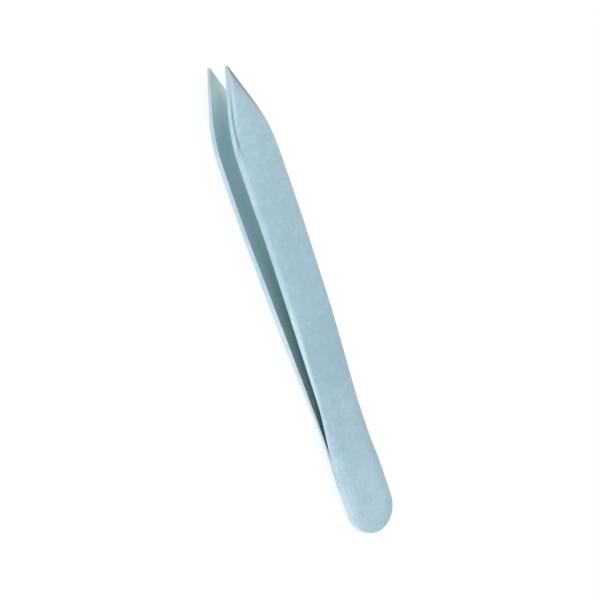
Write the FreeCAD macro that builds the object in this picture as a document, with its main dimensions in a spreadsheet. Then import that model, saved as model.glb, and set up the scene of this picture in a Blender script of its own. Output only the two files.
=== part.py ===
"""Pointed flat-body tweezers: two stamped, taper-ground steel arms welded face to face at the closed end.

Both arms are the same stamped part. One is turned over onto the other about the length of the tool, so the
flat inner faces of the two weld pads meet on the mid-plane. The tool lies as it comes to rest on a bench: on
the flat belly of the lower arm, with its length along X, the points at +X and +Z up.

Each arm is made in its own frame: X runs from the rounded end to the point, Y across the blade, and Z = 0 is
the mid-plane between the arms. All lengths are in millimetres and all angles in degrees.
"""

import FreeCAD, Part
import math
import os
import Sketcher
from FreeCAD import Vector

# Driving dimensions. Along the arm, the pad, spring, grip and nose follow one another from the rounded end
# to the point. A setback or an advance places a feature before or after the end of one of these stretches.
# A half gap is the height of an arm's inner face above the mid-plane, and a half width is measured across
# the blade from its centre line.
SIZES = {
    "pad_length": 17.35,
    "spring_length": 9.9,
    "grip_length": 34.75,
    "nose_length": 33.0,
    "point_length": 13.0,
    "belly_advance": 16.75,
    "knee_half_gap": 0.945,
    "nose_half_gap": 2.32,
    "spring_thickness": 1.00,
    "belly_thickness": 1.68,
    "nose_thickness": 1.50,
    "tip_thickness": 0.75,
    "bend_radius": 40.0,
    "end_half_width": 5.45,
    "lobe_setback": 4.35,
    "lobe_half_width": 5.52,
    "waist_setback": 0.95,
    "waist_half_width": 4.60,
    "flare_setback": 6.0,
    "flare_half_width": 4.70,
    "widest_advance": 7.0,
    "widest_half_width": 4.82,
    "shoulder_half_width": 4.78,
    "blend_radius": 50.0,
    "shoulder_radius": 32.0,
    "tip_radius": 0.25,
    "rim_radius": 0.20,
    "inner_rim_radius": 0.07,
    "bevel_angle": 12.0,
    "bevel_taper": 1.0,
    "ridge_length": 2.7,
    "trim_margin": 3.0,
}

# Stations, which are distances from the rounded end.
KNEE = "(Sizes.pad_length + Sizes.spring_length)"
BELLY = f"({KNEE} + Sizes.belly_advance)"
NOSE = f"({KNEE} + Sizes.grip_length)"
TIP = f"({NOSE} + Sizes.nose_length)"
SHOULDER = f"({TIP} - Sizes.point_length)"
RIDGE = f"({TIP} - Sizes.ridge_length)"
LOBE = "(Sizes.pad_length - Sizes.lobe_setback)"
WAIST = f"({KNEE} - Sizes.waist_setback)"
FLARE = f"({NOSE} - Sizes.flare_setback)"
WIDEST = f"({NOSE} + Sizes.widest_advance)"

# Heights of the outer face above the mid-plane: the inner face's height and the thickness there.
BELLY_HALF_GAP = (
    "(Sizes.knee_half_gap + (Sizes.nose_half_gap - Sizes.knee_half_gap)"
    " * Sizes.belly_advance / Sizes.grip_length)"
)
BELLY_HEIGHT = f"({BELLY_HALF_GAP} + Sizes.belly_thickness)"
NOSE_HEIGHT = "(Sizes.nose_half_gap + Sizes.nose_thickness)"
TIP_HEIGHT = "(Sizes.nose_half_gap + Sizes.tip_thickness)"
TIP_SLOPE = f"atan(({NOSE_HEIGHT} - {TIP_HEIGHT}) / Sizes.point_length)"
RIDGE_HEIGHT = f"({TIP_HEIGHT} + ({NOSE_HEIGHT} - {TIP_HEIGHT}) * Sizes.ridge_length / Sizes.point_length)"

# The angle in plan between the centre line and the point's straight edge, which touches the tip's round.
POINT_REACH = "(Sizes.point_length - Sizes.tip_radius)"
POINT_ANGLE = (
    f"(atan(Sizes.shoulder_half_width / {POINT_REACH})"
    f" - asin(Sizes.tip_radius / sqrt(Sizes.shoulder_half_width ^ 2 + {POINT_REACH} ^ 2)))"
)

# How the tool leans when it lies on its belly, and where that puts the arms' own frame.
LEAN = f"atan(({NOSE_HEIGHT} - {BELLY_HEIGHT}) / ({NOSE} - {BELLY}))"
REST_X = f"-{TIP} / 2 * cos({LEAN})"
REST_Z = f"{BELLY_HEIGHT} * cos({LEAN}) - {BELLY} * sin({LEAN})"
RESTING = f"placement(vector({REST_X}; 0; {REST_Z}); rotation(vector(0; 1; 0); -{LEAN}))"
TURNED_OVER = "placement(vector(0; 0; 0); rotation(vector(1; 0; 0); 180))"

ARMS = {
    "upper_arm": RESTING,
    "lower_arm": f"{RESTING} * {TURNED_OVER}",
}

# Sketcher's own numbers for the origin, the horizontal axis and the points of a line or arc.
ORIGIN = (-1, 1)
X_AXIS = -1
START, END, CENTRE = 1, 2, 3

# A length too small to matter, and the steepest that an outer face leans, in degrees.
NEAR = 1e-4
STEEPEST_LEAN = 20.0


def make_sheet(doc):
    """Put every driving dimension into the spreadsheet, one alias to a row."""
    sheet = doc.addObject("Spreadsheet::Sheet", "Sizes")
    for row, (alias, value) in enumerate(SIZES.items(), start=1):
        sheet.set(f"A{row}", alias)
        sheet.set(f"B{row}", str(value))
        sheet.setAlias(f"B{row}", alias)
    doc.recompute()


def origin_plane(body, role):
    """Find one of the body's own origin planes."""
    return next(feature for feature in body.Origin.OriginFeatures if feature.Role == role)


def new_sketch(body, name, role):
    """Start a sketch on one of the body's origin planes."""
    sketch = body.newObject("Sketcher::SketchObject", name)
    sketch.AttachmentSupport = [(origin_plane(body, role), "")]
    sketch.MapMode = "FlatFace"
    return sketch


def worked_out(sketch, expression):
    """The plain number that an expression on the sheet has now."""
    return float(sketch.evalExpression(expression))


def place(sketch, across, up):
    """The point at two distances from the origin, where a height of None means on the X axis."""
    return Vector(worked_out(sketch, across), worked_out(sketch, up) if up else 0, 0)


def bind(sketch, kind, *where, to):
    """Add a dimension and tie it to an expression on the sheet."""
    index = sketch.addConstraint(Sketcher.Constraint(kind, *where, worked_out(sketch, to)))
    sketch.setExpression(f"Constraints[{index}]", to)


def pin(sketch, geometry, point, across, up):
    """Fix a point by its two distances from the origin; a height of None puts it on the X axis."""
    bind(sketch, "DistanceX", *ORIGIN, geometry, point, to=across)
    if up is None:
        sketch.addConstraint(Sketcher.Constraint("PointOnObject", geometry, point, X_AXIS))
    else:
        bind(sketch, "DistanceY", *ORIGIN, geometry, point, to=up)


def rounded_corner(before, corner, after, radius):
    """The arc of a given radius between two straight runs, and whether it turns left."""
    into = (corner - before).normalize()
    out = (after - corner).normalize()
    turn = math.atan2(into.cross(out).z, into.dot(out))
    left = turn > 0
    start = corner - into * (radius * math.tan(abs(turn) / 2))
    across = Vector(-into.y, into.x, 0) * (radius if left else -radius)
    first = math.atan2(-across.y, -across.x)
    low, high = (first, first + turn) if left else (first + turn, first)
    return Part.ArcOfCircle(Part.Circle(start + across, Vector(0, 0, 1), radius), low, high), left


def rounded_chain(sketch, start, corners, stop):
    """Straight runs with an arc at each corner, from one known point to another.

    Each corner is its two distances from the origin and the radius of its arc. It is kept as a construction
    point that both of its runs aim at. Returns the numbers of the first and the last run.
    """
    places = [place(sketch, across, up) for across, up, _ in corners]
    knots = [start] + places + [stop]
    leave, runs, arcs = start, [], []
    for index, (across, up, radius) in enumerate(corners, start=1):
        arc, left = rounded_corner(*knots[index - 1:index + 2], worked_out(sketch, radius))
        enter, depart = (arc.StartPoint, arc.EndPoint) if left else (arc.EndPoint, arc.StartPoint)
        runs.append(sketch.addGeometry(Part.LineSegment(leave, enter)))
        arcs.append((sketch.addGeometry(arc), left))
        leave = depart
    runs.append(sketch.addGeometry(Part.LineSegment(leave, stop)))
    for index, (across, up, radius) in enumerate(corners):
        arc, left = arcs[index]
        enter, depart = (START, END) if left else (END, START)
        sketch.addConstraint(Sketcher.Constraint("Tangent", runs[index], END, arc, enter))
        sketch.addConstraint(Sketcher.Constraint("Tangent", arc, depart, runs[index + 1], START))
        corner = sketch.addGeometry(Part.Point(places[index]), True)
        pin(sketch, corner, START, across, up)
        for run in runs[index:index + 2]:
            sketch.addConstraint(Sketcher.Constraint("PointOnObject", corner, START, run))
        bind(sketch, "Radius", arc, to=radius)
    return runs[0], runs[-1]


def side_profile(body):
    """The arm seen from its edge: straight runs between the bends, thin at the spring, thick at the grip."""
    sketch = new_sketch(body, "SideProfile", "XZ_Plane")
    bend = "Sizes.bend_radius"
    inner = [
        ("Sizes.pad_length", None, bend),
        (KNEE, "Sizes.knee_half_gap", bend),
        (NOSE, "Sizes.nose_half_gap", bend),
    ]
    outer = [
        (SHOULDER, NOSE_HEIGHT, bend),
        (NOSE, NOSE_HEIGHT, bend),
        (BELLY, BELLY_HEIGHT, bend),
        ("Sizes.pad_length", "Sizes.spring_thickness", bend),
    ]
    inner_tip = place(sketch, TIP, "Sizes.nose_half_gap")
    outer_tip = place(sketch, TIP, TIP_HEIGHT)
    outer_end = Vector(0, worked_out(sketch, "Sizes.spring_thickness"), 0)
    inner_first, inner_last = rounded_chain(sketch, Vector(0, 0, 0), inner, inner_tip)
    outer_first, outer_last = rounded_chain(sketch, outer_tip, outer, outer_end)
    tip_side = sketch.addGeometry(Part.LineSegment(inner_tip, outer_tip))
    end_side = sketch.addGeometry(Part.LineSegment(outer_end, Vector(0, 0, 0)))
    for before, after in ((inner_last, tip_side), (tip_side, outer_first), (outer_last, end_side)):
        sketch.addConstraint(Sketcher.Constraint("Coincident", before, END, after, START))
    sketch.addConstraint(Sketcher.Constraint("Coincident", end_side, END, *ORIGIN))
    sketch.addConstraint(Sketcher.Constraint("Coincident", inner_first, START, *ORIGIN))
    pin(sketch, tip_side, START, TIP, "Sizes.nose_half_gap")
    pin(sketch, tip_side, END, TIP, TIP_HEIGHT)
    sketch.addConstraint(Sketcher.Constraint("Vertical", end_side))
    bind(sketch, "DistanceY", *ORIGIN, end_side, START, to="Sizes.spring_thickness")
    return sketch


def plan_trim(body):
    """What the stamping cuts away on one side of the blade, between the outline and the edge of the blank.

    The outline runs from the middle of the rounded end, over the lobe, the waist, the flare, the widest part
    and the shoulder, to the middle of the blunted point.
    """
    sketch = new_sketch(body, "PlanTrim", "XY_Plane")
    corners = [
        (LOBE, "Sizes.lobe_half_width", "Sizes.blend_radius"),
        (WAIST, "Sizes.waist_half_width", "Sizes.blend_radius"),
        (FLARE, "Sizes.flare_half_width", "Sizes.blend_radius"),
        (WIDEST, "Sizes.widest_half_width", "Sizes.blend_radius"),
        (SHOULDER, "Sizes.shoulder_half_width", "Sizes.shoulder_radius"),
    ]
    length = worked_out(sketch, TIP)
    margin = worked_out(sketch, "Sizes.trim_margin")
    end_radius = worked_out(sketch, "Sizes.end_half_width")
    tip_radius = worked_out(sketch, "Sizes.tip_radius")
    end_centre = Vector(end_radius, 0, 0)
    tip_centre = Vector(length - tip_radius, 0, 0)

    # The straight runs beside the two round ends start where they touch those rounds.
    to_lobe = place(sketch, *corners[0][:2]) - end_centre
    to_shoulder = place(sketch, *corners[-1][:2]) - tip_centre
    end_angle = math.atan2(to_lobe.y, to_lobe.x) + math.acos(end_radius / to_lobe.Length)
    tip_angle = math.atan2(to_shoulder.y, to_shoulder.x) - math.acos(tip_radius / to_shoulder.Length)
    leave_end = end_centre + Vector(math.cos(end_angle), math.sin(end_angle), 0) * end_radius
    reach_tip = tip_centre + Vector(math.cos(tip_angle), math.sin(tip_angle), 0) * tip_radius

    first_run, last_run = rounded_chain(sketch, leave_end, corners, reach_tip)
    up = Vector(0, 0, 1)
    end_round = Part.Circle(end_centre, up, end_radius)
    tip_round = Part.Circle(tip_centre, up, tip_radius)
    end_arc = sketch.addGeometry(Part.ArcOfCircle(end_round, end_angle, math.pi))
    tip_arc = sketch.addGeometry(Part.ArcOfCircle(tip_round, 0, tip_angle))
    sketch.addConstraint(Sketcher.Constraint("Tangent", end_arc, START, first_run, START))
    sketch.addConstraint(Sketcher.Constraint("Tangent", last_run, END, tip_arc, END))
    sketch.addConstraint(Sketcher.Constraint("Coincident", end_arc, END, *ORIGIN))
    sketch.addConstraint(Sketcher.Constraint("PointOnObject", end_arc, CENTRE, X_AXIS))
    bind(sketch, "Radius", end_arc, to="Sizes.end_half_width")
    sketch.addConstraint(Sketcher.Constraint("PointOnObject", tip_arc, START, X_AXIS))
    pin(sketch, tip_arc, CENTRE, f"{TIP} - Sizes.tip_radius", None)
    bind(sketch, "Radius", tip_arc, to="Sizes.tip_radius")

    # The edge of the blank closes the region that is cut away.
    far_side = end_radius + 2 * margin
    frame = [
        Vector(length, 0, 0),
        Vector(length + margin, 0, 0),
        Vector(length + margin, far_side, 0),
        Vector(-margin, far_side, 0),
        Vector(-margin, 0, 0),
        Vector(0, 0, 0),
    ]
    sides = [sketch.addGeometry(Part.LineSegment(a, b)) for a, b in zip(frame, frame[1:])]
    for before, after in zip(sides, sides[1:]):
        sketch.addConstraint(Sketcher.Constraint("Coincident", before, END, after, START))
    sketch.addConstraint(Sketcher.Constraint("Coincident", sides[0], START, tip_arc, START))
    sketch.addConstraint(Sketcher.Constraint("Coincident", sides[-1], END, *ORIGIN))
    sketch.addConstraint(Sketcher.Constraint("Vertical", sides[1]))
    sketch.addConstraint(Sketcher.Constraint("Horizontal", sides[2]))
    sketch.addConstraint(Sketcher.Constraint("Vertical", sides[3]))
    sketch.addConstraint(Sketcher.Constraint("PointOnObject", sides[-1], START, X_AXIS))
    bind(sketch, "DistanceX", sides[-1], START, *ORIGIN, to="Sizes.trim_margin")
    pin(sketch, sides[0], END, f"{TIP} + Sizes.trim_margin", None)
    bind(sketch, "DistanceY", *ORIGIN, sides[1], END, to="Sizes.end_half_width + 2 * Sizes.trim_margin")
    return sketch


def bevel_plane(body):
    """The plane of one ground tip facet, drawn as a rectangle that more than covers the facet.

    Its X axis is the line where the facet meets the sloping face of the point. It starts on the centre line,
    where the two facets meet in a ridge, and runs back to the shoulder. In plan it turns a little less than
    the point's edge, so the facet narrows to the tip. The plane falls away outwards at the bevel angle.
    """
    sketch = new_sketch(body, "BevelPlane", "XY_Plane")
    slope = f"rotation(vector(0; 1; 0); {TIP_SLOPE})"
    turn = f"rotation(vector(0; 0; 1); 180 deg + Sizes.bevel_taper * 1 deg - {POINT_ANGLE})"
    fall = "rotation(vector(1; 0; 0); Sizes.bevel_angle)"
    sketch.setExpression(
        "AttachmentOffset",
        f"placement(vector({RIDGE}; 0; {RIDGE_HEIGHT}); {slope} * {turn} * {fall})",
    )
    back = "Sizes.nose_length"
    forward = "Sizes.ridge_length + Sizes.trim_margin"
    beside = "Sizes.end_half_width"
    right, left, reach = (worked_out(sketch, each) for each in (back, forward, beside))
    corners = ((-left, -reach), (right, -reach), (right, reach), (-left, reach))
    frame = [Vector(along, across, 0) for along, across in corners]
    for index in range(4):
        sketch.addGeometry(Part.LineSegment(frame[index], frame[(index + 1) % 4]))
    for index in range(4):
        sketch.addConstraint(Sketcher.Constraint("Coincident", index, END, (index + 1) % 4, START))
    for index in (0, 2):
        sketch.addConstraint(Sketcher.Constraint("Horizontal", index))
        sketch.addConstraint(Sketcher.Constraint("Vertical", index + 1))
    bind(sketch, "DistanceX", 0, START, *ORIGIN, to=forward)
    bind(sketch, "DistanceY", 0, START, *ORIGIN, to=beside)
    bind(sketch, "DistanceX", *ORIGIN, 2, START, to=back)
    bind(sketch, "DistanceY", *ORIGIN, 2, START, to=beside)
    return sketch


def rim_edges(shape, facing):
    """The edges where a face meets the side walls, all round the blade: 1 for the outer face, -1 the inner."""
    names = []
    for number, edge in enumerate(shape.Edges, start=1):
        ups = []
        for face in shape.ancestorsOfType(edge, Part.Face):
            u_low, u_high, v_low, v_high = face.ParameterRange
            ups.append(face.normalAt((u_low + u_high) / 2, (v_low + v_high) / 2).z * facing)
        if min(map(abs, ups)) < NEAR and max(ups) > math.cos(math.radians(STEEPEST_LEAN)):
            names.append(f"Edge{number}")
    return names


def soften(body, name, base, facing, radius):
    """Round one rim of the blade to a radius on the sheet."""
    fillet = body.newObject("PartDesign::Fillet", name)
    fillet.Base = (base, rim_edges(base.Shape, facing))
    fillet.setExpression("Radius", radius)
    return fillet


def mirrored(body, name, original):
    """Repeat a cut on the other side of the blade's centre line."""
    feature = body.newObject("PartDesign::Mirrored", name)
    feature.Originals = [original]
    feature.MirrorPlane = (origin_plane(body, "XZ_Plane"), [""])
    body.Tip = feature
    return feature


def make_arm(doc, label, placement):
    """One arm: a bent blank, trimmed to its outline, with softened rims and two ground tip facets."""
    body = doc.addObject("PartDesign::Body", label)
    body.Label = label

    blank = body.newObject("PartDesign::Pad", "Blank")
    blank.Profile = side_profile(body)
    blank.Midplane = True
    blank.setExpression("Length", "2 * (Sizes.end_half_width + Sizes.trim_margin)")
    doc.recompute()

    trim = body.newObject("PartDesign::Pocket", "Trim")
    trim.Profile = plan_trim(body)
    trim.Type = "ThroughAll"
    trim.Midplane = True
    doc.recompute()
    outline = mirrored(body, "Outline", trim)
    doc.recompute()

    rim = soften(body, "Rim", outline, 1, "Sizes.rim_radius")
    doc.recompute()
    soften(body, "InnerRim", rim, -1, "Sizes.inner_rim_radius")
    doc.recompute()

    bevel = body.newObject("PartDesign::Pocket", "Bevel")
    bevel.Profile = bevel_plane(body)
    bevel.Reversed = True
    bevel.setExpression("Length", "Sizes.end_half_width")
    doc.recompute()
    mirrored(body, "Bevels", bevel)

    body.setExpression("Placement", placement)
    doc.recompute()
    return body


def check(doc, arms):
    """Stop before anything is written if a feature has failed or an arm isn't one sound solid."""
    for item in doc.Objects:
        if "Invalid" in item.State or "Error" in item.State:
            raise RuntimeError(f"{item.Name} failed: {item.State}")
    for arm in arms:
        shape = arm.Shape
        if shape.isNull() or not shape.isValid() or len(shape.Solids) != 1:
            raise RuntimeError(f"{arm.Label} is not one valid solid")


def main():
    """Build both arms in one document and write each to its own file."""
    os.makedirs("parts", exist_ok=True)
    doc = FreeCAD.newDocument("Tweezers")
    make_sheet(doc)
    arms = [make_arm(doc, label, placement) for label, placement in ARMS.items()]
    check(doc, arms)
    for arm in arms:
        arm.Shape.exportStep(f"parts/{arm.Label}.step")
        box = arm.Shape.optimalBoundingBox()
        print(f"{arm.Label}: volume {arm.Shape.Volume:.2f} mm3, X {box.XMin:.3f} to {box.XMax:.3f}, "
              f"Y {box.YMin:.3f} to {box.YMax:.3f}, Z {box.ZMin:.3f} to {box.ZMax:.3f}")


main()
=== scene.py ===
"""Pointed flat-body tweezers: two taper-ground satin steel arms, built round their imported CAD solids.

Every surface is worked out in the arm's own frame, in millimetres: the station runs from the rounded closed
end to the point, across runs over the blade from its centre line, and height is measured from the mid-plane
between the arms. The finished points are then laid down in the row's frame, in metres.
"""

import logging
from dataclasses import dataclass
from enum import Enum
from math import acos, asin, atan, atan2, cos, hypot, pi, radians, sin, tan

import bmesh
import bpy
import numpy as np
from mathutils import Matrix, Vector


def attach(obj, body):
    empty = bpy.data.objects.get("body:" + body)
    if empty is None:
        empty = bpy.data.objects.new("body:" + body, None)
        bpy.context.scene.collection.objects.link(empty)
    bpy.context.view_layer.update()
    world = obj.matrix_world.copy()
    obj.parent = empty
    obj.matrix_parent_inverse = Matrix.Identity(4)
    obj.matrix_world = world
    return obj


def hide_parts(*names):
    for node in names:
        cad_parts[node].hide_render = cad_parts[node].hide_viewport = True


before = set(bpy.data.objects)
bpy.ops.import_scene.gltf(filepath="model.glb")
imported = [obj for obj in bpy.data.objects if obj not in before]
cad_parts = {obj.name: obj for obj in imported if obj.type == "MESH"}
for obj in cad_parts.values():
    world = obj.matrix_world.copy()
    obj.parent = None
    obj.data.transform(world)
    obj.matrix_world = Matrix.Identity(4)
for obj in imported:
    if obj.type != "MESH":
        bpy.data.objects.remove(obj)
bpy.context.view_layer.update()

Run = tuple[tuple[float, float], ...]
Place = tuple[float, float, float]
Colour = tuple[float, float, float, float]

MM = 0.001
MERGE_GAP = 0.0002 * MM
log = logging.getLogger("tweezers")


class Side(Enum):
    """Which arm a surface belongs to, as the sign of its heights in the tool's frame."""

    UPPER = 1
    LOWER = -1


@dataclass(frozen=True)
class Corner:
    """A corner of a run of straight lines, and the radius of the arc that rounds it, in millimetres."""

    along: float
    up: float
    radius: float


@dataclass(frozen=True)
class RoundedRun:
    """Straight lines from start to stop with an arc at each corner, read as heights over a length."""

    start: tuple[float, float]
    corners: tuple[Corner, ...]
    stop: tuple[float, float]

    def height(self, along: np.ndarray) -> np.ndarray:
        """Read the line's height at each length.

        The straight lines are interpolated. Where a length falls on an arc, the height is the arc centre's
        height plus or minus the root of the radius squared less the squared distance from the centre.

        Args:
            along: Lengths along the run.

        Returns:
            The height at each length.
        """
        knots = [self.start, *((corner.along, corner.up) for corner in self.corners), self.stop]
        heights = np.interp(along, [knot[0] for knot in knots], [knot[1] for knot in knots])
        for before, corner, after in zip(knots, self.corners, knots[2:]):
            into = atan2(corner.up - before[1], corner.along - before[0])
            out = atan2(after[1] - corner.up, after[0] - corner.along)
            side = 1.0 if out > into else -1.0
            tangent = corner.radius * tan(abs(out - into) / 2)
            first = corner.along - tangent * cos(into)
            last = corner.along + tangent * cos(out)
            centre = first - side * corner.radius * sin(into)
            centre_up = corner.up - tangent * sin(into) + side * corner.radius * cos(into)
            on_arc = (along > first) & (along < last)
            rise = np.sqrt(np.maximum(corner.radius ** 2 - (along - centre) ** 2, 0.0))
            heights = np.where(on_arc, centre_up - side * rise, heights)
        return heights


@dataclass(frozen=True)
class Outline:
    """One half of the blade's plan, from the middle of its round end to the middle of its blunted point."""

    length: float
    end_radius: float
    tip_radius: float
    corners: tuple[Corner, ...]
    end_steps: int = 48
    run_steps: int = 340
    tip_steps: int = 14

    def touch(self, centre: float, radius: float, corner: Corner, turn: float) -> float:
        """Find the angle on a round end where the straight run to a corner touches it.

        Args:
            centre: The station of the round's centre, which lies on the centre line.
            radius: The round's radius.
            corner: The corner that the run leads to.
            turn: 1 for the run that leaves the closed end, and -1 for the one that reaches the point.

        Returns:
            The angle in radians from the direction of the point.
        """
        along = corner.along - centre
        return atan2(corner.up, along) + turn * acos(radius / hypot(along, corner.up))

    def half(self) -> tuple[np.ndarray, np.ndarray]:
        """Work out points along the half outline, and their outward normals.

        Each round end is an arc about a centre on the centre line, as far as the straight run that touches
        it. Between them the outline is a rounded run. A normal is the tangent turned a quarter turn.

        Returns:
            The points as (station, across) rows, and the unit normals as rows.
        """
        tip_centre = self.length - self.tip_radius
        end_angle = self.touch(self.end_radius, self.end_radius, self.corners[0], 1.0)
        tip_angle = self.touch(tip_centre, self.tip_radius, self.corners[-1], -1.0)
        leave = (self.end_radius * (1 + cos(end_angle)), self.end_radius * sin(end_angle))
        arrive = (tip_centre + self.tip_radius * cos(tip_angle), self.tip_radius * sin(tip_angle))
        along = np.linspace(leave[0], arrive[0], self.run_steps + 2)[1:-1]
        across = RoundedRun(leave, self.corners, arrive).height(along)
        end = np.linspace(pi, end_angle, self.end_steps)
        tip = np.linspace(tip_angle, 0.0, self.tip_steps)
        points = np.concatenate([
            np.stack([self.end_radius * (1 + np.cos(end)), self.end_radius * np.sin(end)], 1),
            np.stack([along, across], 1),
            np.stack([tip_centre + self.tip_radius * np.cos(tip), self.tip_radius * np.sin(tip)], 1),
        ])
        points[[0, -1], 1] = 0.0
        tangents = np.gradient(points, axis=0)
        tangents[0], tangents[-1] = (0.0, 1.0), (0.0, -1.0)
        tangents /= np.linalg.norm(tangents, axis=1, keepdims=True)
        return points, np.stack([-tangents[:, 1], tangents[:, 0]], 1)


@dataclass(frozen=True)
class Facet:
    """A plane ground on each side of the point. It falls away outwards from a line along the outer face."""

    ridge: float
    ridge_height: float
    turn: float
    fall: float
    slope: float

    @property
    def normal(self) -> tuple[float, float, float]:
        """Tip an upright line outwards by the fall, turn it in plan, then tip it down with the sloping face.

        Returns:
            The plane's unit normal as its parts along the arm, outwards and up.
        """
        along = sin(self.fall) * sin(self.turn)
        return (
            along * cos(self.slope) + cos(self.fall) * sin(self.slope),
            sin(self.fall) * cos(self.turn),
            cos(self.fall) * cos(self.slope) - along * sin(self.slope),
        )

    def height(self, station: np.ndarray, across: np.ndarray) -> np.ndarray:
        """Read the plane's height over each place, from the ridge point that it passes through.

        Args:
            station: Distances from the closed end.
            across: Distances from the centre line.

        Returns:
            The height of the facet's plane at each place.
        """
        along, outward, up = self.normal
        return self.ridge_height - (along * (station - self.ridge) + outward * np.abs(across)) / up

    def crease(self, station: np.ndarray, face: np.ndarray) -> np.ndarray:
        """Find how far from the centre line the plane meets a face of the given heights."""
        along, outward, up = self.normal
        return (up * (self.ridge_height - face) - along * (station - self.ridge)) / outward


def fillet_drop(depth: np.ndarray, radius: float) -> np.ndarray:
    """Work out how far a rounded edge has fallen: the radius less the height of a quarter circle.

    Args:
        depth: Distances straight in from the edge.
        radius: The edge's radius.

    Returns:
        The fall below the flat face at each distance, from the whole radius at the edge to nothing.
    """
    short = np.clip(radius - depth, 0.0, radius)
    return radius - np.sqrt(radius ** 2 - short ** 2)


def rounded_lower(first: np.ndarray, second: np.ndarray, softness: float) -> np.ndarray:
    """Take the lower of two heights, with the crease between them rounded.

    The lower height is reduced by a quarter of the softness times the square of how near the two heights
    are, which is one where they cross and nothing where they differ by the softness.

    Args:
        first: The first surface's heights.
        second: The second surface's heights.
        softness: The difference in height over which the crease is rounded.

    Returns:
        The height of the rounded surface at each place.
    """
    near = np.clip(1 - np.abs(first - second) / softness, 0.0, 1.0)
    return np.minimum(first, second) - softness / 4 * near ** 2


@dataclass(frozen=True)
class WearAndPaintedLight:
    """How grinding, tone and painted highlight and shade change along an arm, as pairs of a place and a
    value.

    The last three runs are read at the depth in from the edge, and the others at the station. Places are in
    millimetres, and values are weights from 0 to 1, apart from the rim's width, which is in millimetres too.
    """

    # Outer faces darker over the grip than at the closed end
    grip_darkening: Run = (
        (5.0, 0.15), (15.0, 0.5), (25.0, 0.47), (36.0, 1.0), (44.0, 0.82), (68.0, 0.78), (78.0, 0.55),
    )
    # Painted highlight along the edges, stronger in some places along the arm
    painted_edge_sheen: Run = (
        (8.0, 1.0), (13.0, 0.5), (28.0, 0.5), (34.0, 0.88), (42.0, 0.70), (50.0, 0.22), (60.0, 0.16),
        (66.0, 0.04), (76.0, 0.45), (82.0, 0.05),
    )
    # Painted light and shade in the gap between the arms: the inner faces pulled towards one mid tone, by
    # station
    painted_gap_tone: Run = (
        (27.0, 0.0), (34.0, 0.10), (45.0, 0.12), (48.0, 0.18), (53.0, 0.28), (58.0, 0.40), (62.5, 0.55),
        (67.0, 0.68), (76.0, 0.95), (84.0, 0.62), (89.5, 0.62), (93.0, 0.40),
    )
    tip: Run = ((88.5, 0.0), (91.5, 0.75), (94.0, 1.0))
    # Dark lines along the facet creases: on the near side partly a burred, discoloured line and partly
    # painted shade in the crease, on the far side only painted shade
    burr_line_and_shade: Run = ((78.5, 0.0), (80.8, 1.0), (86.5, 1.0), (92.5, 0.3))
    far_facet_painted_shade: Run = ((84.0, 0.0), (88.0, 0.6), (94.5, 1.0))
    shaded: Run = ((22.0, 0.72), (32.0, 0.0), (89.5, 0.0), (93.0, 0.85))
    # How far in from the edge the edge tone and its painted highlight reach, by station
    rim_width: Run = ((20.0, 0.5), (27.0, 0.25), (38.0, 0.25), (46.0, 0.5))
    # How the dark crease line and its painted shade fade with depth in from the edge
    burr_line_and_shade_strip: Run = ((0.0, 0.0), (0.06, 1.0), (0.36, 1.0), (0.62, 0.0))
    inner_rim: Run = ((0.0, 1.0), (0.3, 0.0))
    # Painted shade on the inner faces, deeper in from the edge
    painted_inner_shade: Run = ((0.0, 0.0), (0.8, 0.10), (2.2, 1.0))

    @staticmethod
    def weight(run: Run, place: np.ndarray) -> np.ndarray:
        """Read one of the runs at each place, on straight lines between its pairs."""
        return np.interp(place, [pair[0] for pair in run], [pair[1] for pair in run])


# The lower arm's edges carry their painted highlight in other places than the upper arm's
LOWER_WEAR_AND_LIGHT = WearAndPaintedLight(painted_edge_sheen=(
    (8.0, 1.0), (13.0, 0.25), (26.0, 0.12), (34.0, 0.60), (42.0, 0.95), (50.0, 0.55), (60.0, 0.36),
    (66.0, 0.25), (76.0, 0.80), (82.0, 0.02),
))


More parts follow.
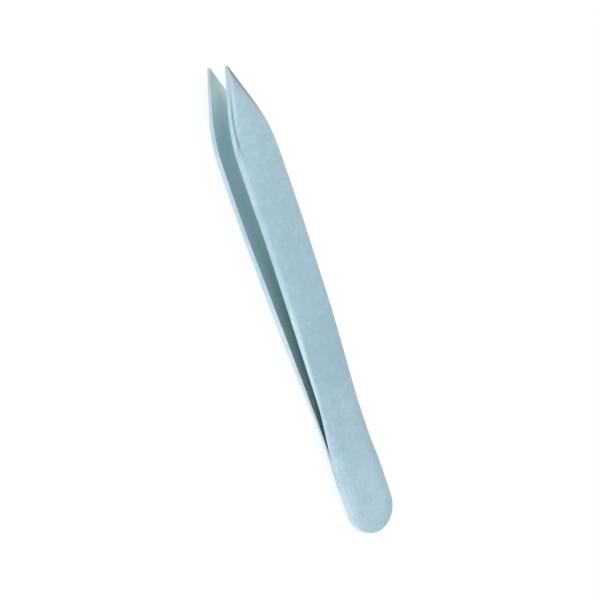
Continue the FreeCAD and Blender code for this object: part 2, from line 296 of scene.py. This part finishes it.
@dataclass(frozen=True)
class Arm:
    """One taper-ground arm. Lengths are in millimetres, angles in degrees and heights from the mid-plane."""

    lobe: float = 13.0
    pad_length: float = 17.35
    knee: float = 27.25
    waist: float = 26.3
    belly: float = 44.0
    flare: float = 56.0
    nose: float = 62.0
    widest: float = 69.0
    shoulder: float = 82.0
    ridge: float = 92.3
    length: float = 95.0
    knee_half_gap: float = 0.945
    nose_half_gap: float = 2.32
    spring_thickness: float = 1.00
    belly_thickness: float = 1.68
    nose_thickness: float = 1.50
    tip_thickness: float = 0.75
    bend_radius: float = 40.0
    end_half_width: float = 5.45
    lobe_half_width: float = 5.52
    waist_half_width: float = 4.60
    flare_half_width: float = 4.70
    widest_half_width: float = 4.82
    shoulder_half_width: float = 4.78
    tip_radius: float = 0.25
    blend_radius: float = 50.0
    shoulder_radius: float = 32.0
    rim_radius: float = 0.28
    burr_radius: float = 0.05
    inner_rim_radius: float = 0.14
    bevel_angle: float = 12.0
    bevel_taper: float = 1.0
    pad_crown_width: float = 2.8
    pad_crown: float = 0.30
    spring_crown: float = 0.10
    grip_crown_width: float = 4.6
    grip_crown: float = 0.12
    crease_softness: float = 0.12
    wear_and_light: WearAndPaintedLight = WearAndPaintedLight()
    rim_rows: int = 7
    facet_rows: int = 8
    wall_rows: int = 7
    face_rows: int = 16
    crease_gap: float = 0.04
    least_rims: float = 1.5
    most_reach: float = 0.97
    inner_rims: float = 3.0
    inner_reach: float = 0.6

    @property
    def outline(self) -> Outline:
        """The half plan: over the lobe, the waist, the flare, the widest part and the shoulder."""
        return Outline(self.length, self.end_half_width, self.tip_radius, (
            Corner(self.lobe, self.lobe_half_width, self.blend_radius),
            Corner(self.waist, self.waist_half_width, self.blend_radius),
            Corner(self.flare, self.flare_half_width, self.blend_radius),
            Corner(self.widest, self.widest_half_width, self.blend_radius),
            Corner(self.shoulder, self.shoulder_half_width, self.shoulder_radius),
        ))

    @property
    def belly_height(self) -> float:
        """Add the belly's thickness to the half gap there, which rises in a straight line from knee to nose.

        Returns:
            The outer face's height at the belly.
        """
        share = (self.belly - self.knee) / (self.nose - self.knee)
        half_gap = self.knee_half_gap + (self.nose_half_gap - self.knee_half_gap) * share
        return half_gap + self.belly_thickness

    @property
    def nose_height(self) -> float:
        """The outer face's height from the nose to the shoulder."""
        return self.nose_half_gap + self.nose_thickness

    @property
    def inner_run(self) -> RoundedRun:
        """The inner face seen from the edge of the blade."""
        return RoundedRun((0.0, 0.0), (
            Corner(self.pad_length, 0.0, self.bend_radius),
            Corner(self.knee, self.knee_half_gap, self.bend_radius),
            Corner(self.nose, self.nose_half_gap, self.bend_radius),
        ), (self.length, self.nose_half_gap))

    @property
    def outer_run(self) -> RoundedRun:
        """The outer face seen from the edge of the blade."""
        return RoundedRun((0.0, self.spring_thickness), (
            Corner(self.pad_length, self.spring_thickness, self.bend_radius),
            Corner(self.belly, self.belly_height, self.bend_radius),
            Corner(self.nose, self.nose_height, self.bend_radius),
            Corner(self.shoulder, self.nose_height, self.bend_radius),
        ), (self.length, self.nose_half_gap + self.tip_thickness))

    @property
    def facet(self) -> Facet:
        """Lay the plane of a ground tip facet, turned a little less than the point's own straight edge.

        The edge's angle is that of the line from the shoulder to the middle of the blunted point's round,
        less the angle that the round's radius takes up. The ridge point is on the sloping outer face.

        Returns:
            The facet's plane.
        """
        reach = self.length - self.shoulder - self.tip_radius
        half_width = self.shoulder_half_width
        edge = atan(half_width / reach) - asin(self.tip_radius / hypot(half_width, reach))
        tip_height = self.nose_half_gap + self.tip_thickness
        slope = (self.nose_height - tip_height) / (self.length - self.shoulder)
        ridge_height = tip_height + slope * (self.length - self.ridge)
        turn = edge - radians(self.bevel_taper)
        return Facet(self.ridge, ridge_height, turn, radians(self.bevel_angle), atan(slope))

    def crown(self, station: np.ndarray, depth: np.ndarray) -> np.ndarray:
        """Work out how far the crowned outer face falls towards its edges.

        The fall is a depth times the square of what is left of the crown's width. Both change along the arm.

        Args:
            station: Distances from the closed end.
            depth: Distances straight in from the edge.

        Returns:
            The fall below the flat face at each place.
        """
        places = (self.pad_length, self.knee, self.belly, self.nose, self.shoulder, self.length)
        falls = (self.pad_crown, self.spring_crown, self.grip_crown, self.grip_crown, self.grip_crown, 0.0)
        widths = (self.pad_crown_width, self.grip_crown_width)
        left = np.clip(1 - depth / np.interp(station, (self.pad_length, self.belly), widths), 0.0, 1.0)
        return np.interp(station, places, falls) * left ** 2

    def outer_height(self, station: np.ndarray, across: np.ndarray, depth: np.ndarray) -> np.ndarray:
        """Work out the outer side's height, which is the lower of its crowned face and its tip facets.

        Args:
            station: Distances from the closed end.
            across: Distances from the centre line.
            depth: Distances straight in from the edge.

        Returns:
            The height above the mid-plane at each place.
        """
        face = self.outer_run.height(station) - self.crown(station, depth)
        ground = self.facet.height(station, across) - fillet_drop(depth, self.burr_radius)
        return rounded_lower(face - fillet_drop(depth, self.rim_radius), ground, self.crease_softness)

    def rows_in(self, reach: np.ndarray, rim: float, zone: np.ndarray) -> np.ndarray:
        """Place the rows of points from the edge in to the centre line.

        The first rows are close together round the rim, the next fill the zone beside it, with a pair at the
        zone's inner edge, where a facet has its crease, and the last spread over the rest of the face.

        Args:
            reach: The distance from each outline point to the centre line.
            rim: The rim's radius.
            zone: How far in the zone reaches at each outline point.

        Returns:
            Distances in from the outline, one row of points to each row.
        """
        rim_width = np.minimum(rim, reach / 2)
        turn = np.linspace(0.0, pi / 2, self.rim_rows)[:, None]
        share = np.linspace(0.0, 1.0, self.facet_rows + 1)[1:, None]
        inner = np.minimum(zone + self.crease_gap, (zone + reach) / 2)
        spread = np.linspace(0.0, 1.0, self.face_rows)[:, None]
        return np.concatenate([
            rim_width * (1 - np.cos(turn)),
            rim_width + (zone - rim_width) * share,
            inner + (reach - inner) * spread,
        ])

    def skin(self) -> tuple[np.ndarray, dict[str, np.ndarray]]:
        """Work out the arm's whole surface as rows of points round its outline.

        Rows run from the centre line of the inner face out to the edge, up the side wall and back in over
        the outer face. Every point of a row is on a rib that runs straight from its outline point to the
        centre line. The outer face's zone of close rows is as wide as the facet, within the least number of
        rim radii and the most of the rib that the fields allow.

        Returns:
            The points as an array of (row, place round the outline, station and across and height), and the
            weights of the grinding marks, tone changes and painted light and shade by name, each an array of
            (row, place round the outline).
        """
        edge, normal = self.outline.half()
        spine = np.clip(edge[:, 0], self.end_half_width, self.length - self.tip_radius)
        ribs = np.stack([spine, np.zeros_like(spine)], 1) - edge
        reach = np.linalg.norm(ribs, axis=1)
        ribs /= reach[:, None]
        inward = -(ribs * normal).sum(1)

        face = self.outer_run.height(edge[:, 0])
        crease = np.clip(self.facet.crease(edge[:, 0], face), 0.0, None)
        width = np.clip(edge[:, 1] - crease, self.least_rims * self.rim_radius, None)
        zone = np.minimum(width, self.most_reach * reach)
        inner_zone = np.minimum(self.inner_rims * self.inner_rim_radius, self.inner_reach * reach)

        outer = self.rows_in(reach, self.rim_radius, zone)
        inner = self.rows_in(reach, self.inner_rim_radius, inner_zone)

        def lay(rows: np.ndarray) -> tuple[np.ndarray, np.ndarray, np.ndarray]:
            """Find the station, the distance across and the depth of points on the ribs."""
            place = edge[None] + ribs[None] * rows[..., None]
            return place[..., 0], place[..., 1], rows * inward

        station, across, depth = lay(outer)
        top = self.outer_height(station, across, depth)
        inner_station, inner_across, inner_depth = lay(inner)
        bottom = self.inner_run.height(inner_station) + fillet_drop(inner_depth, self.inner_rim_radius)
        climb = np.linspace(0.0, 1.0, self.wall_rows + 2)[1:-1, None]
        wall = bottom[0] + (top[0] - bottom[0]) * climb
        wall_station = np.broadcast_to(edge[:, 0], wall.shape)
        wall_across = np.broadcast_to(edge[:, 1], wall.shape)

        points = np.concatenate([
            np.stack([inner_station, inner_across, bottom], -1)[::-1],
            np.stack([wall_station, wall_across, wall], -1),
            np.stack([station, across, top], -1),
        ])
        # The finish is half ground on the crease itself
        facet_fall = self.outer_run.height(station) - self.facet.height(station, across)
        ground = np.clip(0.5 + facet_fall / self.crease_softness, 0.0, 1.0)
        wear_and_light, weight = self.wear_and_light, self.wear_and_light.weight
        strip = weight(wear_and_light.burr_line_and_shade_strip, depth)
        # Painted shade on the inner faces, by depth and by station
        painted_inner_shade = np.maximum(weight(wear_and_light.painted_inner_shade, inner_depth), weight(wear_and_light.shaded, inner_station))
        rim = np.clip(1 - depth / weight(wear_and_light.rim_width, station), 0.0, 1.0)
        # By station: a darker tone over the grip, a painted highlight along the edges and a painted tone in
        # the gap
        marks = {
            name: weight(run, points[..., 0]) for name, run in (
                ("grip_darkening", wear_and_light.grip_darkening), ("painted_edge_sheen", wear_and_light.painted_edge_sheen), ("painted_gap_tone", wear_and_light.painted_gap_tone),
            )
        }
        for name, on_inner, on_wall, on_outer in (
            ("inner", 1.0, 0.0, 0.0),
            # Painted shade on the inner faces
            ("painted_inner_shade", painted_inner_shade[::-1], 0.0, 0.0),
            ("ground", 0.0, 0.0, ground),
            ("tip", 0.0, weight(wear_and_light.tip, wall_station), weight(wear_and_light.tip, station)),
            # Dark crease lines: burred line with painted shade on the near facet, painted shade on the far
            # facet
            ("burr_line_and_shade", 0.0, 0.0, strip * weight(wear_and_light.burr_line_and_shade, station)),
            ("far_facet_painted_shade", 0.0, 0.0, strip * weight(wear_and_light.far_facet_painted_shade, station)),
            # Edges and side walls take the edge tone with its painted highlight
            ("rim", weight(wear_and_light.inner_rim, inner_depth)[::-1], 1.0, rim),
        ):
            marks[name] = np.concatenate([
                np.broadcast_to(on_inner, bottom.shape),
                np.broadcast_to(on_wall, wall.shape),
                np.broadcast_to(on_outer, top.shape),
            ])
        return points, marks

    @property
    def lean(self) -> float:
        """The angle that the tool leans at when it lies on its belly, in radians."""
        return atan((self.nose_height - self.belly_height) / (self.nose - self.belly))

    def lie(self, points: np.ndarray, side: Side) -> np.ndarray:
        """Lay points of one arm down in the row's frame, in metres.

        The lower arm is the upper one turned over about the length of the tool. Both then turn by the lean
        about the closed end, and shift until the lower arm's belly is on the ground.

        Args:
            points: Places as (station, across, height).
            side: The arm that the points belong to.

        Returns:
            The same places as x, y and z in the row's frame.
        """
        turn, rise = cos(self.lean), sin(self.lean)
        along, across, height = points[..., 0], points[..., 1] * side.value, points[..., 2] * side.value
        x = along * turn - height * rise - self.length / 2 * turn
        z = along * rise + height * turn + self.belly_height * turn - self.belly * rise
        return np.stack([x, across, z], -1) * MM

    def build(self, name: str, side: Side) -> bpy.types.Object:
        """Make one arm's closed mesh, with its marks as point attributes.

        The half surface is mirrored to go the whole way round the outline, and points that fall together on
        the centre line are merged.

        Args:
            name: The new piece's name.
            side: Which arm it is.

        Returns:
            The finished object, with its place in its mesh.
        """
        half, marks = self.skin()
        count = half.shape[1]
        around = np.concatenate([np.arange(count), np.arange(count - 2, 0, -1)])
        mirror = np.where(np.arange(around.size) < count, 1.0, -1.0)
        points = half[:, around] * np.stack([np.ones_like(mirror), mirror, np.ones_like(mirror)], -1)
        rows, ring = points.shape[:2]
        index = np.arange(rows * ring).reshape(rows, ring)
        following = np.roll(index, -1, axis=1)
        quads = np.stack([index[:-1], following[:-1], following[1:], index[1:]], -1).reshape(-1, 4)
        mesh = bpy.data.meshes.new(name)
        mesh.from_pydata(self.lie(points, side).reshape(-1, 3).tolist(), [], quads.tolist())
        marks = {mark: weights[:, around] for mark, weights in marks.items()}
        # The near facet's crease takes the burred line with painted shade, the far one only painted shade
        marks["burr_line_and_shade"] = np.where(mirror > 0, marks["burr_line_and_shade"], marks.pop("far_facet_painted_shade"))
        for mark, weights in marks.items():
            layer = mesh.attributes.new(mark, "FLOAT", "POINT")
            layer.data.foreach_set("value", weights.astype(np.float32).ravel())
        close_shell(mesh)
        piece = bpy.data.objects.new(name, mesh)
        bpy.context.scene.collection.objects.link(piece)
        return piece


def close_shell(mesh: bpy.types.Mesh) -> None:
    """Merge points that fall together, turn every face outwards and shade the mesh smooth.

    Args:
        mesh: The mesh to finish in place.
    """
    shell = bmesh.new()
    shell.from_mesh(mesh)
    bmesh.ops.remove_doubles(shell, verts=shell.verts, dist=MERGE_GAP)
    bmesh.ops.recalc_face_normals(shell, faces=shell.faces)
    shell.to_mesh(mesh)
    shell.free()
    mesh.polygons.foreach_set("use_smooth", np.ones(len(mesh.polygons), bool))
    mesh.update()


class Nodes:
    """A small helper that adds shader nodes to one tree and links them."""

    MIX_FACTOR, MIX_LOW, MIX_HIGH, MIX_RESULT = 0, 6, 7, 2

    def __init__(self, tree: bpy.types.NodeTree) -> None:
        """Start with an empty tree."""
        self.tree = tree
        tree.nodes.clear()

    def feed(self, socket: bpy.types.NodeSocket, value: object) -> None:
        """Link an input to an output socket, or set it where the value is a plain one.

        Args:
            socket: The input socket.
            value: An output socket, or a number, colour or vector.
        """
        if isinstance(value, bpy.types.NodeSocket):
            self.tree.links.new(value, socket)
        else:
            socket.default_value = value

    def add(self, kind: str, settings: dict | None = None, **inputs: object) -> bpy.types.Node:
        """Add a node, set its properties, and set or link its inputs by name.

        Args:
            kind: The node's type name.
            settings: Properties of the node itself.
            **inputs: Values or output sockets by input name, with underscores for spaces.

        Returns:
            The new node.
        """
        node = self.tree.nodes.new(kind)
        for key, value in (settings or {}).items():
            setattr(node, key, value)
        for key, value in inputs.items():
            self.feed(node.inputs[key.replace("_", " ")], value)
        return node

    def noise(
        self, place: bpy.types.NodeSocket, size: float, detail: float, coarse: float = 0.5,
    ) -> bpy.types.NodeSocket:
        """Add a noise and return its value.

        Args:
            place: Where it is read.
            size: The size of its largest features, in metres.
            detail: How many times finer features, each half as large, are added.
            coarse: How strong each finer layer is beside the one before it.

        Returns:
            The noise's value, from 0 to 1.
        """
        node = self.add("ShaderNodeTexNoise", Vector=place, Scale=1 / size, Detail=detail, Roughness=coarse)
        return node.outputs["Fac"]

    def mix(self, factor: object, low: object, high: object) -> bpy.types.NodeSocket:
        """Blend two colours by a factor, which is held between 0 and 1.

        Args:
            factor: The share of the second colour.
            low: The first colour.
            high: The second colour.

        Returns:
            The blended colour.
        """
        node = self.add("ShaderNodeMix", {"data_type": "RGBA"})
        for place, value in ((self.MIX_FACTOR, factor), (self.MIX_LOW, low), (self.MIX_HIGH, high)):
            self.feed(node.inputs[place], value)
        return node.outputs[self.MIX_RESULT]

    def reckon(self, operation: str, *numbers: object) -> bpy.types.NodeSocket:
        """Do one sum with two or three numbers.

        Args:
            operation: The sum's name.
            *numbers: The numbers, each a value or an output socket.

        Returns:
            The sum's result.
        """
        node = self.add("ShaderNodeMath", {"operation": operation})
        for socket, value in zip(node.inputs, numbers):
            self.feed(socket, value)
        return node.outputs["Value"]

    def span(self, value: bpy.types.NodeSocket, low: float, high: float) -> bpy.types.NodeSocket:
        """Stretch a value from the range 0 to 1 onto the range low to high."""
        node = self.add("ShaderNodeMapRange", Value=value, To_Min=low, To_Max=high)
        return node.outputs["Result"]

    def mark(self, name: str) -> bpy.types.NodeSocket:
        """Read one of the mesh's own weights."""
        return self.add("ShaderNodeAttribute", {"attribute_name": name}).outputs["Fac"]


@dataclass(frozen=True)
class SatinSteel:
    """Fine matt satin steel with a cool cast: blasted faces, painted shade inside, painted edge highlights,
    freshly ground tips.
    """

    fresh: Colour = (0.606, 0.818, 0.905, 1.0)
    # Darker tone of the outer faces over the grip
    grip_darkening: Colour = (0.484, 0.706, 0.816, 1.0)
    # Inner faces: their colour at the edge, and the painted shade that darkens them deeper in
    inner: Colour = (0.800, 0.970, 0.995, 1.0)
    painted_inner_shade: Colour = (0.410, 0.588, 0.608, 1.0)
    # Painted mid tone for the inner faces seen in the gap
    painted_gap_tone: Colour = (0.588, 0.755, 0.808, 1.0)
    ground: Colour = (0.595, 0.815, 0.900, 1.0)
    tip: Colour = (0.545, 0.685, 0.770, 1.0)
    # Dark crease line: burred steel with painted shade
    burr_line_and_shade: Colour = (0.270, 0.390, 0.460, 1.0)
    # Edges: their own tone, and the painted highlight laid over it along the arm
    rim: Colour = (0.540, 0.735, 0.840, 1.0)
    painted_edge_sheen: Colour = (0.705, 0.890, 0.965, 1.0)
    cloud_size: float = 2.8 * MM
    cloud_layers: float = 4.0
    cloud_coarse: float = 1.0
    cloud_depth: float = 3.3
    grain_size: float = 0.16 * MM
    grain_layers: float = 3.0
    grain_depth: float = 0.004 * MM
    roughness: tuple[float, float] = (0.40, 0.50)
    ground_polish: float = 0.15

    def material(self, name: str) -> bpy.types.Material:
        """Make the finish as a node material.

        Args:
            name: The material's name.

        Returns:
            The new material.
        """
        material = bpy.data.materials.new(name)
        material.use_nodes = True
        nodes = Nodes(material.node_tree)
        place = nodes.add("ShaderNodeTexCoord").outputs["Object"]
        clouds = nodes.noise(place, self.cloud_size, self.cloud_layers, self.cloud_coarse)
        uneven = nodes.span(clouds, -self.cloud_depth / 2, self.cloud_depth / 2)
        grain = nodes.noise(place, self.grain_size, self.grain_layers)
        # Darken the outer faces over the grip, unevenly
        grip_darkening_share = nodes.reckon("ADD", nodes.mark("grip_darkening"), uneven)
        # How strong the painted highlight along the edges is, unevenly
        painted_sheen_share = nodes.reckon("SUBTRACT", nodes.mark("painted_edge_sheen"), uneven)
        ground = nodes.mark("ground")
        colour = nodes.mix(grip_darkening_share, self.fresh, self.grip_darkening)
        # Inner faces darken deeper in with painted shade
        inner = nodes.mix(nodes.mark("painted_inner_shade"), self.inner, self.painted_inner_shade)
        # Painted light and shade in the gap, by station
        inner = nodes.mix(nodes.mark("painted_gap_tone"), inner, self.painted_gap_tone)
        colour = nodes.mix(nodes.mark("inner"), colour, inner)
        # Edges take their tone, brightened by the painted highlight
        colour = nodes.mix(nodes.mark("rim"), colour, nodes.mix(painted_sheen_share, self.rim, self.painted_edge_sheen))
        colour = nodes.mix(ground, colour, self.ground)
        colour = nodes.mix(nodes.mark("tip"), colour, self.tip)
        # Darken the facet creases: burred line and painted shade
        colour = nodes.mix(nodes.mark("burr_line_and_shade"), colour, self.burr_line_and_shade)
        polish = nodes.reckon("MULTIPLY", ground, self.ground_polish)
        roughness = nodes.reckon("SUBTRACT", nodes.span(grain, *self.roughness), polish)
        bump = nodes.add("ShaderNodeBump", Strength=1.0, Distance=self.grain_depth, Height=grain)
        shader = nodes.add(
            "ShaderNodeBsdfPrincipled",
            Base_Color=colour,
            Metallic=1.0,
            Roughness=roughness,
            Normal=bump.outputs["Normal"],
        )
        nodes.add("ShaderNodeOutputMaterial", Surface=shader.outputs["BSDF"])
        return material


@dataclass(frozen=True)
class Studio:
    """A plain pale floor, a plain sky, one soft lamp, and the camera at the photograph's viewing angle."""

    pivot: Place
    azimuth: float = 72.04
    elevation: float = 50.83
    roll: float = -83.91
    distance: float = 833.3 * MM
    focal_length: float = 264.7
    clip_start: float = 0.01
    clip_end: float = 20.0
    aim_right: float = 0.230 * MM
    aim_up: float = 0.342 * MM
    floor_size: float = 6.0
    floor_drop: float = 0.02 * MM
    floor_colour: Colour = (0.8, 0.8, 0.8, 1.0)
    shadow_colour: Colour = (0.25, 0.25, 0.25, 1.0)
    floor_lift: float = 0.81
    sky_low: float = 0.49
    sky_overhead: float = 0.52
    sky_horizon: float = 0.26
    sky_power: float = 3.0
    key_size: float = 0.9
    key_power: float = 1.5
    key_place: Place = (0.1, 0.3, 1.0)

    def camera_axes(self) -> np.ndarray:
        """Work out the camera's right, up and back directions from its azimuth, elevation and roll.

        Back points from the tweezers to the camera. Before the roll, right is level and up is square to
        both, and the roll then turns the pair about the line of sight.

        Returns:
            The three unit vectors as rows.
        """
        turn, tilt, roll = radians(self.azimuth), radians(self.elevation), radians(self.roll)
        back = np.array([cos(turn) * cos(tilt), sin(turn) * cos(tilt), sin(tilt)])
        right = np.array([-sin(turn), cos(turn), 0.0])
        up = np.cross(back, right)
        return np.array([right * cos(roll) - up * sin(roll), up * cos(roll) + right * sin(roll), back])

    def place_camera(self) -> bpy.types.Object:
        """Make the scene's camera, looking at the middle of the tool.

        Returns:
            The camera object.
        """
        axes = self.camera_axes()
        right, up, back = axes
        data = bpy.data.cameras.new("camera")
        data.lens = self.focal_length
        data.clip_start, data.clip_end = self.clip_start, self.clip_end
        camera = bpy.data.objects.new("camera", data)
        place = np.array(self.pivot) + back * self.distance + right * self.aim_right + up * self.aim_up
        camera.matrix_world = Matrix.Translation(Vector(place)) @ Matrix(axes.T.tolist()).to_4x4()
        bpy.context.scene.collection.objects.link(camera)
        bpy.context.scene.camera = camera
        return camera

    def lay_floor(self) -> bpy.types.Object:
        """Make the pale floor, which stays white to the camera and in the steel but keeps its shadow.

        Returns:
            The floor object.
        """
        half = self.floor_size / 2
        corners = [(-half, -half), (half, -half), (half, half), (-half, half)]
        mesh = bpy.data.meshes.new("floor")
        mesh.from_pydata([(x, y, -self.floor_drop) for x, y in corners], [], [(0, 1, 2, 3)])
        floor = bpy.data.objects.new("floor", mesh)
        material = bpy.data.materials.new("floor_paper")
        material.use_nodes = True
        nodes = Nodes(material.node_tree)
        path = nodes.add("ShaderNodeLightPath").outputs
        seen = nodes.reckon("MAXIMUM", path["Is Camera Ray"], path["Is Glossy Ray"])
        seen = nodes.reckon("MAXIMUM", seen, path["Is Transmission Ray"])
        colour = nodes.mix(seen, self.floor_colour, self.shadow_colour)
        paper = nodes.add("ShaderNodeBsdfDiffuse", Color=colour).outputs["BSDF"]
        strength = nodes.span(seen, 0.0, self.floor_lift)
        glow = nodes.add("ShaderNodeEmission", Strength=strength).outputs["Emission"]
        both = nodes.add("ShaderNodeAddShader")
        for socket, part in zip(both.inputs, (paper, glow)):
            nodes.feed(socket, part)
        nodes.add("ShaderNodeOutputMaterial", Surface=both.outputs["Shader"])
        mesh.materials.append(material)
        bpy.context.scene.collection.objects.link(floor)
        return floor

    def light(self) -> None:
        """Set a plain sky, paler overhead and at the horizon, and one large soft lamp overhead."""
        world = bpy.data.worlds.new("studio")
        world.use_nodes = True
        nodes = Nodes(world.node_tree)
        direction = nodes.add("ShaderNodeTexCoord").outputs["Generated"]
        upward = nodes.add("ShaderNodeSeparateXYZ", Vector=direction).outputs["Z"]
        height = nodes.reckon("MAXIMUM", upward, 0.0)
        overhead = nodes.reckon("POWER", height, self.sky_power)
        horizon = nodes.reckon("POWER", nodes.reckon("SUBTRACT", 1.0, height), self.sky_power)
        strength = nodes.reckon(
            "ADD",
            nodes.reckon("MULTIPLY_ADD", overhead, self.sky_overhead, self.sky_low),
            nodes.reckon("MULTIPLY", horizon, self.sky_horizon),
        )
        sky = nodes.add("ShaderNodeBackground", Color=(1.0, 1.0, 1.0, 1.0), Strength=strength)
        nodes.add("ShaderNodeOutputWorld", Surface=sky.outputs["Background"])
        bpy.context.scene.world = world
        data = bpy.data.lights.new("key", "AREA")
        data.size = self.key_size
        data.energy = self.key_power
        lamp = bpy.data.objects.new("key", data)
        place = Vector(self.key_place)
        lamp.matrix_world = Matrix.Translation(place) @ place.to_track_quat("Z", "Y").to_matrix().to_4x4()
        bpy.context.scene.collection.objects.link(lamp)


def main() -> None:
    """Build both arms round their CAD nodes, then the studio, and report each arm."""
    logging.basicConfig(level=logging.INFO, format="%(message)s")
    bpy.context.scene.view_settings.view_transform = "Standard"
    finish = SatinSteel().material("satin_steel_finish")
    upper = Arm()
    arms = {"upper_arm": (upper, Side.UPPER), "lower_arm": (Arm(wear_and_light=LOWER_WEAR_AND_LIGHT), Side.LOWER)}
    for node, (arm, side) in arms.items():
        piece = arm.build(f"{node}_steel", side)
        piece.data.materials.append(finish)
        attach(piece, "root")
        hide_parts(node)
        log.info("%s: %d faces", piece.name, len(piece.data.polygons))
    middle = upper.lie(np.array([upper.length / 2, 0.0, 0.0]), Side.UPPER)
    studio = Studio(tuple(middle))
    studio.lay_floor()
    studio.light()
    studio.place_camera()


if __name__ == "__main__":
    main()
